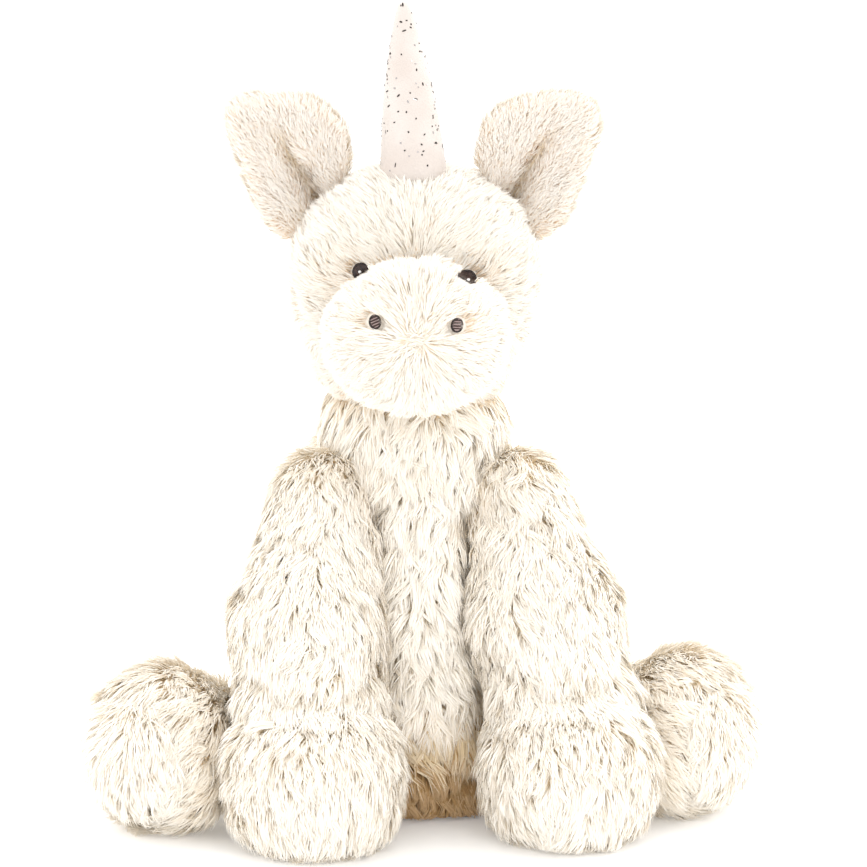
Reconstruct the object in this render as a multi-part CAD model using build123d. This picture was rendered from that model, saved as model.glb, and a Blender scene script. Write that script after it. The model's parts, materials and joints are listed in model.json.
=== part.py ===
from build123d import *
import math
import os

# A sitting plush unicorn, in millimetres. +Z is up, the toy looks towards -Y, and its own left
# side is +X. The origin is on the floor, at the middle of the toy's footprint box.
# Outer surfaces stand where the tips of the pile stand. A cover is the cloth with its pile, and
# each limb, the head, the horn and the tail is a sewn skin closed round its own stuffing.

# Cloth and gaps
PILE = 7.0                # thickness of cloth and pile together
PACKING = 0.2             # slack between a cover and its stuffing
SLACK = 0.8               # room between two pieces that move on each other
STEP = 0.4                # radius steps that keep two round surfaces from lying in each other

# Torso: a pear with a flat seat, turned about an upright axis
TORSO_Y = 1.0
TORSO_PROFILE = [(44, 0), (52, 7), (57, 28), (55, 58), (48, 88), (42, 114), (38, 138.5)]
TORSO_SEAM_Y = 8.0        # the side seam between the front and back panels
SEAT_THICK = 6.0
PELLET_BAG = (19.0, 8.0, 26.0)    # radius, lowest and highest level
BAG_CLOTH = 1.2
BAG_ROUND = 0.45          # the pouch's edge radius as a share of its height
PELLET_ROUND = 0.36

# Neck and head: the head's underside is a ball that sits in the neck's dish
HEAD_Y = -4.0
NECK_PROFILE = [(37, 139.1), (36.2, 145), (34.5, 152)]
HEAD_CENTRE = (0, HEAD_Y, 184)
HEAD_BALL = 42.0
HEAD_BALL_TOP = 176.0
HEAD_PROFILE = [(45.3, 198), (44.2, 216), (37.5, 231), (24, 241), (9, 244.6), (0, 245)]
HEAD_TURN = -7.0          # the head rests turned a little towards the toy's right
HEAD_NODS = (6, 9, 12)    # the lower part of the nod
MUZZLE_CENTRE = (0, -49, 187)
MUZZLE_RADII = (35, 38, 30)
FACE_BACK_Y = 4.0         # the seam between the face and the back of the head
EYE = (20, -46.5, 207.5)
EYE_RADII = (4.2, 3.2, 5.2)
NOSTRIL = (14.7, -82, 194.5)
NOSTRIL_RADII = (3.1, 3.2, 3.6)
MANE_HALF_WIDTH = 9.0
MANE_HEIGHT = 10.0
MANE_FRONT_Y = 8.0
MANE_LOW_Z = 166.0

# Horn
HORN_ROOT = (0, -14, 243)
HORN_LEAN = (-4, -3.4)    # degrees: back, and towards the toy's right
HORN_PROFILE = [(12.3, 0), (11.6, 9), (9.9, 25), (7.4, 40), (4.6, 53), (2.2, 60.6), (0, 62)]
HORN_CLOTH = 1.2

# Ears: a leaf on each side, its root along a straight seam
EAR_ROOT = (36, -4, 230)
EAR_LEAN = 30.0
EAR_LEAF = [(11.5, 0), (17.5, 13), (17.5, 26), (12, 39), (0, 49)]
EAR_THICK = 4.0
EAR_SWINGS = (-20, -10, 0, 10, 20, 30)

# Forelegs: they hang from the shoulders in front of the torso
SHOULDER = (36, -22, 118)
SHOULDER_R = 19.5
KNEE = (44.5, -44, 77)
KNEE_R = 25.5
ANKLE = (46.3, -59, 52)
ANKLE_R = 26.5
FOREFOOT = (46.5, -72)
FOREFOOT_PROFILE = [(20, 0), (29, 7), (32.5, 23), (29.5, 42), (17, 56), (0, 60)]
ANKLE_SEAM_Z = 50.0
FORE_SWINGS = (0, 8, 17, 30, 45)

# Hind legs: short and thick, splayed, with the sole facing out
HIP = (52, 2, 31)
HIP_R = 21.0
HINDFOOT = (102, -48, 31)
HINDFOOT_R = 27.5
HINDFOOT_RISE = (-4.6, 6.5)
THIGH_END_R = 23.0
SOLE_OUT = 16.0           # from the foot's middle to the sole's face
SOLE_THICK = 6.0
HIND_SWINGS = (0, 12, 24, 35)

# Tail
TAIL_ROOT = (0, 60, 45)
TAIL_ROOT_R = 9.5
TAIL_END = (0, 88, 17)
TAIL_END_R = 16.5
TAIL_SWINGS = (-25, -12, 0, 12, 25)
TAIL_PILE = 6.0

# Care label: sewn in low on the back, to the toy's left of the tail's swing
LABEL_X = 33.0
LABEL_SIZE = (1.0, 22.0, 13.0)
LABEL_Z = 17.0
LABEL_OVERHANG = 9.0      # from the torso's surface to the label's middle

FAR = 400.0
parts = {}


def slab(low, high):
    """The box between two corners; None in a corner means far away."""
    low = [-FAR if v is None else v for v in low]
    high = [FAR if v is None else v for v in high]
    size = [b - a for a, b in zip(low, high)]
    middle = [(a + b) / 2 for a, b in zip(low, high)]
    return Pos(*middle) * Box(*size)


LEFT_SIDE = slab((0, None, None), (None, None, None))
ABOVE_FLOOR = slab((None, None, 0), (None, None, None))


def cut_level(shape, level):
    """What lies below and what lies above a level."""
    below = shape & slab((None, None, None), (None, None, level))
    above = shape & slab((None, None, level), (None, None, None))
    return below, above


def mirrored(shape):
    return shape.mirror(Plane.YZ)


def ball(centre, radius):
    return Pos(*centre) * Sphere(radius)


def ovoid(centre, radii):
    return Pos(*centre) * scale(Rot(Y=90) * Sphere(1), by=tuple(float(r) for r in radii))


def swollen(points, grow):
    """A profile's points, moved outwards by grow along the profile's own normals."""
    result = []
    for i, (r, z) in enumerate(points):
        before = points[max(i - 1, 0)]
        after = points[min(i + 1, len(points) - 1)]
        dr, dz = after[0] - before[0], after[1] - before[1]
        length = math.hypot(dr, dz)
        moved = (r + grow * dz / length, z - grow * dr / length)
        result.append((0, moved[1]) if r == 0 else moved)
    return result


def spun(points, x=0.0, y=0.0):
    """The solid that a profile of (radius, height) points makes when it is turned about an
    upright axis through x, y. Its ends are closed with flat faces."""
    flat = [(r, 0, z) for r, z in points]
    line = Spline(*flat)
    closing = [flat[-1]]
    if points[-1][0] > 0:
        closing.append((0, 0, points[-1][1]))
    closing.append((0, 0, points[0][1]))
    if points[0][0] > 0:
        closing.append(flat[0])
    outline = Wire([line] + list(Polyline(*closing).edges()))
    return Pos(x, y, 0) * revolve(Face(outline), Axis.Z)


def bone(start, start_r, end, end_r):
    """Two balls and the cone that touches both: a round-ended, tapered limb."""
    along = Vector(*end) - Vector(*start)
    length = along.length
    sine = (start_r - end_r) / length
    cosine = math.sqrt(1 - sine * sine)
    tilt = math.asin(sine)
    first = (-start_r, 0)
    leave = (start_r * sine, start_r * cosine)
    reach = (length + end_r * sine, end_r * cosine)
    last = (length + end_r, 0)
    half = (math.pi + math.pi / 2 - tilt) / 2
    first_mid = (start_r * math.cos(half), start_r * math.sin(half))
    half = (math.pi / 2 - tilt) / 2
    last_mid = (length + end_r * math.cos(half), end_r * math.sin(half))
    outline = Wire([
        Edge.make_three_point_arc(Vector(*first), Vector(*first_mid), Vector(*leave)),
        Edge.make_line(Vector(*leave), Vector(*reach)),
        Edge.make_three_point_arc(Vector(*reach), Vector(*last_mid), Vector(*last)),
        Edge.make_line(Vector(*last), Vector(*first)),
    ])
    solid = revolve(Face(outline), Axis.X)
    side = along.cross(Vector(0, 0, 1))
    if side.length < 1e-6:
        side = Vector(0, 1, 0)
    frame = Plane(origin=start, x_dir=along, z_dir=side)
    return frame.location * solid


def rotated(shape, point, direction, degrees):
    return shape.rotate(Axis(point, direction), degrees)


def grow_head(grow):
    """The head without its muzzle: a ball below, an egg above."""
    low, ball_r = HEAD_CENTRE[2] - HEAD_BALL - grow, HEAD_BALL + grow
    drop = HEAD_CENTRE[2] - HEAD_BALL_TOP
    join_r = math.sqrt(HEAD_BALL ** 2 - drop ** 2)
    egg = swollen([(join_r, HEAD_BALL_TOP)] + HEAD_PROFILE, grow)
    shrink = ball_r / HEAD_BALL
    egg[0] = (join_r * shrink, HEAD_CENTRE[2] - drop * shrink)
    half = (math.pi / 2 - math.asin(drop / HEAD_BALL)) / 2
    mid = (ball_r * math.sin(half), 0, HEAD_CENTRE[2] - ball_r * math.cos(half))
    arc = ThreePointArc((0, 0, low), mid, (egg[0][0], 0, egg[0][1]))
    rise = Vector(drop / HEAD_BALL, 0, join_r / HEAD_BALL)
    line = Spline(*[(r, 0, z) for r, z in egg], tangents=[rise, Vector(-1, 0, 0)])
    axis = Line((0, 0, egg[-1][1]), (0, 0, low))
    outline = Wire(list(arc.edges()) + list(line.edges()) + list(axis.edges()))
    return Pos(0, HEAD_Y, 0) * revolve(Face(outline), Axis.Z)


def grow_muzzle(grow):
    return ovoid(MUZZLE_CENTRE, [r + grow for r in MUZZLE_RADII])


def on_side(point, side):
    return (point[0] * side, *point[1:])


def foreleg_pieces(grow, side=1):
    shoulder, knee, ankle = [on_side(p, side) for p in (SHOULDER, KNEE, ANKLE)]
    foot = spun(swollen(FOREFOOT_PROFILE, grow), *on_side(FOREFOOT, side))
    upper = bone(shoulder, SHOULDER_R + grow, knee, KNEE_R + grow)
    lower = bone(knee, KNEE_R - STEP + grow, ankle, ANKLE_R + grow)
    return [upper, lower, foot]


def grow_foreleg(grow):
    upper, lower, foot = foreleg_pieces(grow)
    return upper + lower + foot


def thigh(grow, side=1):
    return bone(on_side(HIP, side), HIP_R + grow, on_side(HINDFOOT, side), THIGH_END_R + grow)


def grow_hindleg(grow):
    x, y, z = HINDFOOT
    low, high = (x, y, z + HINDFOOT_RISE[0]), (x, y, z + HINDFOOT_RISE[1])
    foot = bone(low, HINDFOOT_R + grow, high, HINDFOOT_R - STEP + grow)
    return thigh(grow) + foot - beyond_sole(SOLE_OUT + grow)


def beyond_sole(distance):
    """Everything further out than a distance from the hind foot's middle."""
    out = (Vector(*HINDFOOT) - Vector(*HIP)).normalized()
    face = Plane(origin=Vector(*HINDFOOT) + out * distance, z_dir=out)
    return face.location * Pos(0, 0, FAR / 2) * Box(FAR, FAR, FAR)


def grow_tail(grow):
    return bone(TAIL_ROOT, TAIL_ROOT_R + grow, TAIL_END, TAIL_END_R + grow)


def hollowed(core, room):
    """The torso's stuffing space, pressed in where the limbs and the tail join it."""
    for side in (1, -1):
        for piece in foreleg_pieces(room, side) + [thigh(room, side)]:
            core -= piece
    return core - grow_tail(room)


def torso():
    whole = spun(TORSO_PROFILE, y=TORSO_Y)
    seat, wall = cut_level(whole, SEAT_THICK)
    parts["torso_seat"] = seat
    core = spun(swollen(TORSO_PROFILE, -PILE), y=TORSO_Y)
    core = hollowed(cut_level(core, SEAT_THICK)[1], SLACK + PILE)
    outer = wall & LEFT_SIDE
    for centre, radius in ((SHOULDER, SHOULDER_R), (HIP, HIP_R), (TAIL_ROOT, TAIL_ROOT_R)):
        outer -= ball(centre, radius + SLACK + STEP)
    lift = (-1, 0, 0)
    for piece in foreleg_pieces(SLACK):
        for angle in FORE_SWINGS:
            outer -= rotated(piece, SHOULDER, lift, angle)
    for angle in HIND_SWINGS:
        outer -= rotated(thigh(SLACK), HIP, lift, angle)
    for angle in TAIL_SWINGS:
        outer -= rotated(grow_tail(SLACK), TAIL_ROOT, (0, 0, 1), angle)
    cover = outer - core
    both_sides("torso_front", cover & slab((None, None, None), (None, TORSO_SEAM_Y, None)))
    both_sides("torso_back", cover & slab((None, TORSO_SEAM_Y, None), (None, None, None)))
    radius, low, high = PELLET_BAG
    pouch = Pos(0, TORSO_Y, (low + high) / 2) * fillet(
        Cylinder(radius, high - low).edges(), (high - low) * BAG_ROUND
    )
    pellets = Pos(0, TORSO_Y, (low + high) / 2) * fillet(
        Cylinder(radius - BAG_CLOTH, high - low - 2 * BAG_CLOTH).edges(), (high - low) * PELLET_ROUND
    )
    filling = spun(swollen(TORSO_PROFILE, -PILE - PACKING), y=TORSO_Y)
    filling = cut_level(filling, SEAT_THICK + PACKING)[1]
    parts["torso_stuffing"] = hollowed(filling, SLACK + PILE + PACKING) - pouch
    parts["pellet_bag"] = pouch - pellets
    parts["pellets"] = pellets
    label_y = TORSO_Y + math.sqrt(TORSO_PROFILE[1][0] ** 2 - LABEL_X ** 2) + LABEL_OVERHANG
    label = Pos(LABEL_X, label_y, LABEL_Z) * Box(*LABEL_SIZE)
    parts["care_label"] = label - spun(TORSO_PROFILE, y=TORSO_Y)


def neck():
    """The neck's cover and filling, dished for the ball under the head, and for the muzzle
    where it comes down as the head nods."""
    solid = spun(NECK_PROFILE, y=HEAD_Y) - ball(HEAD_CENTRE, HEAD_BALL + SLACK)
    middle = Pos(0, HEAD_Y, NECK_PROFILE[1][1]) * Cylinder(NECK_PROFILE[-1][0] - PILE, FAR)
    cover = solid - middle
    for angle in HEAD_NODS:
        cover -= turned(rotated(grow_muzzle(SLACK + STEP), HEAD_CENTRE, (1, 0, 0), angle))
    parts["neck_cover"] = cover
    parts["neck_stuffing"] = solid & middle


def turned(shape):
    """A piece of the head, turned with it about the neck's upright axis."""
    return rotated(shape, (0, HEAD_Y, 0), (0, 0, 1), HEAD_TURN)


def head():
    egg, muzzle = grow_head(0), grow_muzzle(0)
    core = grow_head(-PILE) + grow_muzzle(-PILE)
    socket = ball(HORN_ROOT, HORN_PROFILE[0][0] + SLACK)
    face = (egg - core - socket) & LEFT_SIDE
    snout = (muzzle - core - egg) & LEFT_SIDE
    front = face & slab((None, None, None), (None, FACE_BACK_Y, None))
    back = face & slab((None, FACE_BACK_Y, None), (None, None, None))
    both_sides("face", front, turned)
    both_sides("head_back", back, turned)
    both_sides("muzzle", snout, turned)
    filling = grow_head(-PILE - PACKING) + grow_muzzle(-PILE - PACKING) - socket
    parts["head_stuffing"] = turned(filling)
    skin = egg + muzzle
    both_sides("eye", ovoid(EYE, EYE_RADII) - skin, turned)
    both_sides("nostril", ovoid(NOSTRIL, NOSTRIL_RADII) - skin, turned)
    crest = grow_head(MANE_HEIGHT) - egg
    crest &= slab((-MANE_HALF_WIDTH, MANE_FRONT_Y, MANE_LOW_Z), (MANE_HALF_WIDTH, None, None))
    parts["mane"] = turned(crest)
    ears(grow_head(SLACK))


def ears(head_room):
    """Each ear is two leaves sewn back to back: the furred outside and the lining in front."""
    left_rim = [(-x, y) for x, y in reversed(EAR_LEAF[:-1])]
    rim = Spline(*EAR_LEAF, *left_rim)
    leaf = Face(Wire(list(rim.edges()) + list(Line(left_rim[-1], EAR_LEAF[0]).edges())))
    frame = Plane(origin=EAR_ROOT, x_dir=(1, 0, 0), z_dir=(0, -1, 0))
    lining = frame.location * Rot(0, 0, -EAR_LEAN) * extrude(leaf, EAR_THICK)
    outer = frame.location * Rot(0, 0, -EAR_LEAN) * extrude(leaf, -EAR_THICK)
    lean = math.radians(EAR_LEAN)
    seam = (math.cos(lean), 0, -math.sin(lean))
    for angle in EAR_SWINGS:
        room = rotated(head_room, EAR_ROOT, seam, -angle)
        lining -= room
        outer -= room
    both_sides("ear_lining", lining, turned)
    both_sides("ear_outer", outer, turned)


def horn():
    def shape(grow):
        rise = swollen(HORN_PROFILE, grow)
        rise[0] = (HORN_PROFILE[0][0] + grow, 0)
        cone = spun(rise)
        root = Sphere(HORN_PROFILE[0][0] + grow)
        return cone + root

    tilt = Pos(*HORN_ROOT) * Rot(X=HORN_LEAN[0]) * Rot(Y=HORN_LEAN[1])
    parts["horn_cover"] = turned(tilt * (shape(0) - shape(-HORN_CLOTH)))
    parts["horn_stuffing"] = turned(tilt * shape(-HORN_CLOTH - PACKING))


def foreleg():
    solid, core = grow_foreleg(0), grow_foreleg(-PILE)
    sole, cover = cut_level((solid - core) & ABOVE_FLOOR, SOLE_THICK)
    foot, upper = cut_level(cover, ANKLE_SEAM_Z)
    both_sides("foreleg_sleeve", upper)
    both_sides("forefoot", foot)
    both_sides("forefoot_sole", sole)
    both_sides("foreleg_stuffing", grow_foreleg(-PILE - PACKING))


def hindleg():
    solid, core = grow_hindleg(0), grow_hindleg(-PILE)
    cover = (solid - core) & ABOVE_FLOOR
    edge = beyond_sole(SOLE_OUT - SOLE_THICK)
    both_sides("hindleg_sleeve", cover - edge)
    both_sides("hindfoot_sole", cover & edge)
    both_sides("hindleg_stuffing", grow_hindleg(-PILE - PACKING))


def tail():
    parts["tail_cover"] = grow_tail(0) - grow_tail(-TAIL_PILE)
    parts["tail_stuffing"] = grow_tail(-TAIL_PILE - PACKING)


def both_sides(name, shape, placed=lambda s: s):
    """The same piece on both sides of the toy."""
    parts["left_" + name] = placed(shape)
    parts["right_" + name] = placed(mirrored(shape))


torso()
neck()
head()
horn()
foreleg()
hindleg()
tail()

os.makedirs("parts", exist_ok=True)
for name, shape in parts.items():
    solids = list(shape.solids())
    export_step(solids[0] if len(solids) == 1 else Compound(children=solids), f"parts/{name}.step")
    box = shape.bounding_box()
    print(f"{name:24s} {len(solids)} solids  {shape.volume / 1000:8.2f} cm3"
          f"  {box.size.X:6.1f} {box.size.Y:6.1f} {box.size.Z:6.1f}")
whole = Compound(children=[s for shape in parts.values() for s in shape.solids()]).bounding_box()
print("whole", whole.min, whole.max)
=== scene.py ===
import json
import math

import bpy
import numpy as np
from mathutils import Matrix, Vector


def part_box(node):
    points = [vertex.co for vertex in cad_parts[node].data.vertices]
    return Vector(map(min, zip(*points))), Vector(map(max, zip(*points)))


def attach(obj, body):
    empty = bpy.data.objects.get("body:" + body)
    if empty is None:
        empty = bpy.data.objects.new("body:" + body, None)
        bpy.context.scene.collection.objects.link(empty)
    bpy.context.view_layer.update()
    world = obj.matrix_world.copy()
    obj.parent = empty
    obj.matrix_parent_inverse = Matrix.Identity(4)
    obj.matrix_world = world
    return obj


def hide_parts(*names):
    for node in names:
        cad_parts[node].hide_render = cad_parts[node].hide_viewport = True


# A sitting plush unicorn. Shapes are worked out in millimetres as signed distances to the surface
# on which the tips of the pile stand, and become meshes in metres. The toy looks towards -Y, and
# its own left side is +X. Each limb is a sewn skin below that surface, with real pile rooted in it.
MM = 0.001
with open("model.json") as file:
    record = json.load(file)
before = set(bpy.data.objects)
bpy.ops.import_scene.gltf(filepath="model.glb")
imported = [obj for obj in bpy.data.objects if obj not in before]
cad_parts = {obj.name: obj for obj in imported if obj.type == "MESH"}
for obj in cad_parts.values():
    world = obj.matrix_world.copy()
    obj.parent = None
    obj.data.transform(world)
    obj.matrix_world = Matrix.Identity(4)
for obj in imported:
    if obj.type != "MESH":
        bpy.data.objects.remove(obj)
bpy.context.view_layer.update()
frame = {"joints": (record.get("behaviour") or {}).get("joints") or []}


def corners(node):
    """A CAD node's lowest and highest corner, in millimetres."""
    low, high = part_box(node)
    return np.array(low) / MM, np.array(high) / MM


joints = {joint["name"]: joint for joint in frame["joints"]}


def pivot(joint):
    """Where a joint turns, in millimetres."""
    return np.array(joints[joint]["pos_m"]) / MM


# ---------------- sizes
SKIN = 4.2                  # from the tips of the body's pile down to the cloth
HEAD_SKIN = 3.3             # the same on the head, whose pile is shorter
FLOOR_GAP = 0.4             # what the lowest pile keeps from the floor
FLOOR_SPREAD = 1.2          # how far above that the pressed strands lie over each other
SKIN_GAP = 2.0              # what the sewn skins keep from it
CLOTH = 2.4                 # from a skin to its stuffing
BODY_GRID, TAIL_GRID, HEAD_GRID, EAR_GRID, FILLING_GRID = 2.4, 2.2, 2.0, 1.2, 3.0      # mesh steps
UNDERSIDE = 4.6             # how far below the floor the forms end, so that their cloth is near it

SHOULDER, HIP, TAIL_ROOT = pivot("left_foreleg_swing"), pivot("left_hindleg_lift"), pivot("tail_wag")
SEAT_LOW, SEAT_HIGH = corners("torso_seat")
TORSO_WIDE, TORSO_SEAM_Y, TORSO_TOP = corners("left_torso_front")[1] + (0.5, 0, 0)
TORSO_AXIS = (SEAT_LOW[:2] + SEAT_HIGH[:2]) / 2
# (share of the widest radius, share of the height)
TORSO_PROFILE = [(0.80, 0), (0.93, 0.05), (1, 0.2), (0.97, 0.42), (0.85, 0.64), (0.75, 0.82), (0.69, 1)]

NECK_PIVOT, NOD_PIVOT = pivot("head_turn"), pivot("head_nod")
HEAD_Y = NOD_PIVOT[1]
HEAD_TURN = math.atan2(*joints["head_nod"]["axis"][1::-1])
CROWN = corners("left_face")[1][2]

MUZZLE_X = 1.0              # the muzzle sits a little to one side

HORN_ROOT = pivot("horn_bend")
MANE_LOW, MANE_HIGH = corners("mane")

FOOT_LOW, FOOT_HIGH = corners("left_forefoot")
FOREFOOT = np.array([46.5, -72.0])
KNEE, KNEE_R = np.array([44.5, -44.0, 77.0]), 27.8
ANKLE, ANKLE_R = np.array([46.3, -59.0, 52.0]), 28.8
ANKLE_SEAM_Z = FOOT_HIGH[2]
FOREFOOT_PROFILE = [(20, 0), (29.5, 7), (33.4, 23), (30.5, 42), (17, 56), (1, 60)]
FOOT_SHIFT = {1: 3.4, -1: 1.6}      # each front foot stands a little towards the toy's left

HINDFOOT = np.array([103.0, -50.5, 31.0])
HINDFOOT_R = 31.0
SOLE_DOME = 34.0            # radius of the domed sole
TAIL_END, TAIL_END_R, TAIL_ROOT_R = np.array([0.0, 88.0, 17.0]), 16.5, 9.5


# ---------------- small vector tools
def dot(a, b):
    return (a * b).sum(-1)


def unit(v):
    return v / np.maximum(np.linalg.norm(v, axis=-1, keepdims=True), 1e-9)


def mirror(p):
    return p * np.array([-1.0, 1.0, 1.0])


def turn_z(p, centre, angle):
    """Points turned about an upright axis through centre."""
    c, s = math.cos(angle), math.sin(angle)
    q = p - np.append(centre[:2], 0)
    turned = np.stack([c * q[:, 0] - s * q[:, 1], s * q[:, 0] + c * q[:, 1], q[:, 2]], 1)
    return turned + np.append(centre[:2], 0)


def head_place(p):
    """From the head's own straight frame to where the turned head stands."""
    return turn_z(p, NOD_PIVOT, HEAD_TURN)


def head_straight(p):
    """The reverse of head_place, for one point."""
    return turn_z(np.array(p, float)[None], NOD_PIVOT, -HEAD_TURN)[0]


def same_place(p):
    return p


def turning(axis, angle):
    """The matrix of a turn about x, y or z, which are 0, 1 and 2."""
    i, j = (axis + 1) % 3, (axis + 2) % 3
    matrix = np.eye(3)
    matrix[i, i] = matrix[j, j] = math.cos(angle)
    matrix[j, i] = math.sin(angle)
    matrix[i, j] = -matrix[j, i]
    return matrix


EAR_ROOT = head_straight(pivot("left_ear_fold"))
MANE_ROOT_Y = 8.0


# ---------------- signed distances
def join(a, b, soft):
    """Both shapes as one, with a fillet about soft wide."""
    h = np.clip(0.5 + 0.5 * (b - a) / soft, 0, 1)
    return b * (1 - h) + a * h - soft * h * (1 - h)


def meet(a, b, soft):
    return -join(-a, -b, soft)


def ellipsoid(p, centre, radii):
    q = (p - centre) / radii
    k0 = np.linalg.norm(q, axis=1)
    k1 = np.linalg.norm(q / radii, axis=1)
    return k0 * (k0 - 1) / np.maximum(k1, 1e-6)


def limb(p, a, a_r, b, b_r):
    """Two balls and the cone that touches both."""
    ba = b - a
    l2 = dot(ba, ba)
    rr = a_r - b_r
    a2 = l2 - rr * rr
    pa = p - a
    y = pa @ ba
    z = y - l2
    x2 = ((pa * l2 - np.outer(y, ba)) ** 2).sum(1)
    y2, z2 = y * y * l2, z * z * l2
    k = np.sign(rr) * rr * rr * x2
    far = np.sqrt(x2 + z2) / l2 - b_r
    near = np.sqrt(x2 + y2) / l2 - a_r
    middle = (np.sqrt(x2 * a2 / l2) + y * rr) / l2 - a_r
    return np.where(np.sign(z) * a2 * z2 > k, far, np.where(np.sign(y) * a2 * y2 < k, near, middle))


def smooth_profile(points, count=80):
    """A profile of (radius, height) points as a smooth fine one: heights, radii and slopes."""
    pts = np.array(points, float)
    ends = np.vstack([2 * pts[0] - pts[1], pts, 2 * pts[-1] - pts[-2]])
    t = np.linspace(0, len(pts) - 1, count)
    i = np.minimum(t.astype(int), len(pts) - 2)
    u = (t - i)[:, None]
    p0, p1, p2, p3 = ends[i], ends[i + 1], ends[i + 2], ends[i + 3]
    line = 0.5 * (2 * p1 + (p2 - p0) * u + (2 * p0 - 5 * p1 + 4 * p2 - p3) * u ** 2
                  + (3 * p1 - p0 - 3 * p2 + p3) * u ** 3)
    radii, heights = line[:, 0], line[:, 1]
    return heights, radii, np.gradient(radii, heights)


def turned_form(p, profile, axis, low, high, soft):
    """A profile turned about an upright axis, closed by level ends."""
    heights, radii, slopes = profile
    away = np.hypot(p[:, 0] - axis[0], p[:, 1] - axis[1])
    r = np.interp(p[:, 2], heights, radii)
    slope = np.interp(p[:, 2], heights, slopes)
    side = (away - r) / np.sqrt(1 + slope ** 2)
    return meet(meet(side, low - p[:, 2], soft), p[:, 2] - high, soft)


def bump(p, centre, size):
    return np.exp(-((p - centre) ** 2).sum(1) / (2 * size ** 2))


torso_profile = smooth_profile([(r * TORSO_WIDE, z * TORSO_TOP) for r, z in TORSO_PROFILE])
foot_profile = smooth_profile(FOREFOOT_PROFILE)
SOLE_OUT = unit(HINDFOOT - HIP)


def foreleg_form(p):
    upper = limb(p, SHOULDER, 20.5, KNEE, KNEE_R)
    lower = limb(p, KNEE, KNEE_R, ANKLE, ANKLE_R)
    foot = turned_form(p, foot_profile, FOREFOOT, -UNDERSIDE, 60, 7)
    leg = join(upper, lower, 8)
    crease = 2.6 * np.exp(-((p[:, 2] - ANKLE_SEAM_Z - 0.45 * (p[:, 1] + 96)) / 5) ** 2)
    return join(leg, foot, 7) + crease * (p[:, 1] < -60)


def thigh_form(p):
    return limb(p, HIP, 21.5, HINDFOOT, 24.5)


def hindleg_form(p):
    foot = limb(p, HINDFOOT - (0, 0, 7.0), HINDFOOT_R, HINDFOOT + (0, 0, 6.5), HINDFOOT_R - 0.8)
    centre = HINDFOOT - SOLE_OUT * (SOLE_DOME - 22.0)
    dome = np.linalg.norm((p - centre), axis=1) - SOLE_DOME
    leg = meet(join(thigh_form(p), foot, 6), dome, 9)
    along = (p - HINDFOOT) @ SOLE_OUT
    rim = 2.0 * np.exp(-((along - 7) / 3.2) ** 2)
    return meet(leg + rim, -UNDERSIDE - p[:, 2], 6)


def tail_limb(p):
    return limb(p, TAIL_ROOT, TAIL_ROOT_R, TAIL_END, TAIL_END_R)


def tail_form(p):
    return meet(tail_limb(p), -UNDERSIDE + 3 - p[:, 2], 5)


def both(form):
    """A form and its mirror image, as one."""
    return lambda p: np.minimum(form(p), form(mirror(p)))


def limbs_form(p):
    """The parts of the four legs that press into the torso."""
    return np.minimum(both(foreleg_form)(p), both(thigh_form)(p))


def pear_form(p):
    return turned_form(p, torso_profile, TORSO_AXIS, -UNDERSIDE, TORSO_TOP, 8)


def torso_form(p):
    """The pear, pressed in where the limbs and the tail join it."""
    press = np.minimum(limbs_form(p), tail_limb(p))
    seam = 1.2 * np.exp(-((p[:, 1] - TORSO_SEAM_Y) / 2.5) ** 2)
    return meet(pear_form(p) + seam, 0.8 - press, 5)


def neck_form(p):
    return limb(p, NECK_PIVOT - (0, 0, 6), 35.5, NECK_PIVOT + (0, 0, 12), 33.0)


def head_ball(p):
    upper = ellipsoid(p, np.array([0.8, HEAD_Y, CROWN - 42]), np.array([47.6, 44.0, 42.0]))
    lower = ellipsoid(p, np.array([0, HEAD_Y, CROWN - 69]), np.array([37.0, 37.0, 34.0]))
    return join(upper, lower, 20)


def muzzle_ball(p):
    return ellipsoid(p, np.array([MUZZLE_X, -49.0, CROWN - 59.5]), np.array([34.2, 37.0, 28.8]))


def head_form(p):
    """Skull and muzzle, hollowed a little at the eyes, with the seams of its panels."""
    ball, muzzle = head_ball(p), muzzle_ball(p)
    form = join(ball, muzzle, 6)
    socket = sum(bump(p, np.array([side * 22.5, -53.0, CROWN - 37]), 6.0) for side in (1, -1))
    seam = np.exp(-((p[:, 0] - MUZZLE_X) / 2.0) ** 2) * np.clip((-p[:, 1] - 40) / 20, 0, 1)
    bridge = np.exp(-((ball - muzzle) / 4.5) ** 2) * np.clip((p[:, 2] - (CROWN - 62)) / 15, 0, 1)
    back_seam = np.exp(-((p[:, 1] - 4) / 2.5) ** 2)
    return form + 3.0 * socket + 1.3 * seam + 1.6 * bridge + 0.7 * back_seam


def mane_form(p):
    """A crest along the back of the head, standing as high as its CAD solid."""
    crest = meet(head_form(p) - 9.5, np.abs(p[:, 0]) - 8.5, 4)
    return meet(meet(crest, MANE_ROOT_Y - p[:, 1], 4), MANE_LOW[2] - p[:, 2], 4)


# ---------------- ears
EAR_LEAN = math.radians(30)
EAR_UP = np.array([math.sin(EAR_LEAN), 0, math.cos(EAR_LEAN)])
EAR_ACROSS = np.array([math.cos(EAR_LEAN), 0, -math.sin(EAR_LEAN)])
EAR_FRONT = np.array([0, -1.0, 0])
EAR_LOW, EAR_HIGH = -12.0, 49.0
# (half width, height) of the leaf's halves: towards the crown, and outwards, where its point is
EAR_INNER = smooth_profile([(4, -12), (8, -7), (13, 0), (19, 8), (22.6, 19), (20.2, 30), (12, 38.5),
                            (3, 44.5), (-6, 49)])
EAR_OUTER = smooth_profile([(8, -12), (15, -8), (19.2, -4), (21, 6), (19, 22), (16, 37), (12.5, 45), (5, 50)])
EAR_PILE = 2.8
EAR_CREASE_TOP = 33.0


def ear_local(p):
    q = p - EAR_ROOT
    return q @ EAR_ACROSS, q @ EAR_UP, q @ EAR_FRONT


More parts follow.
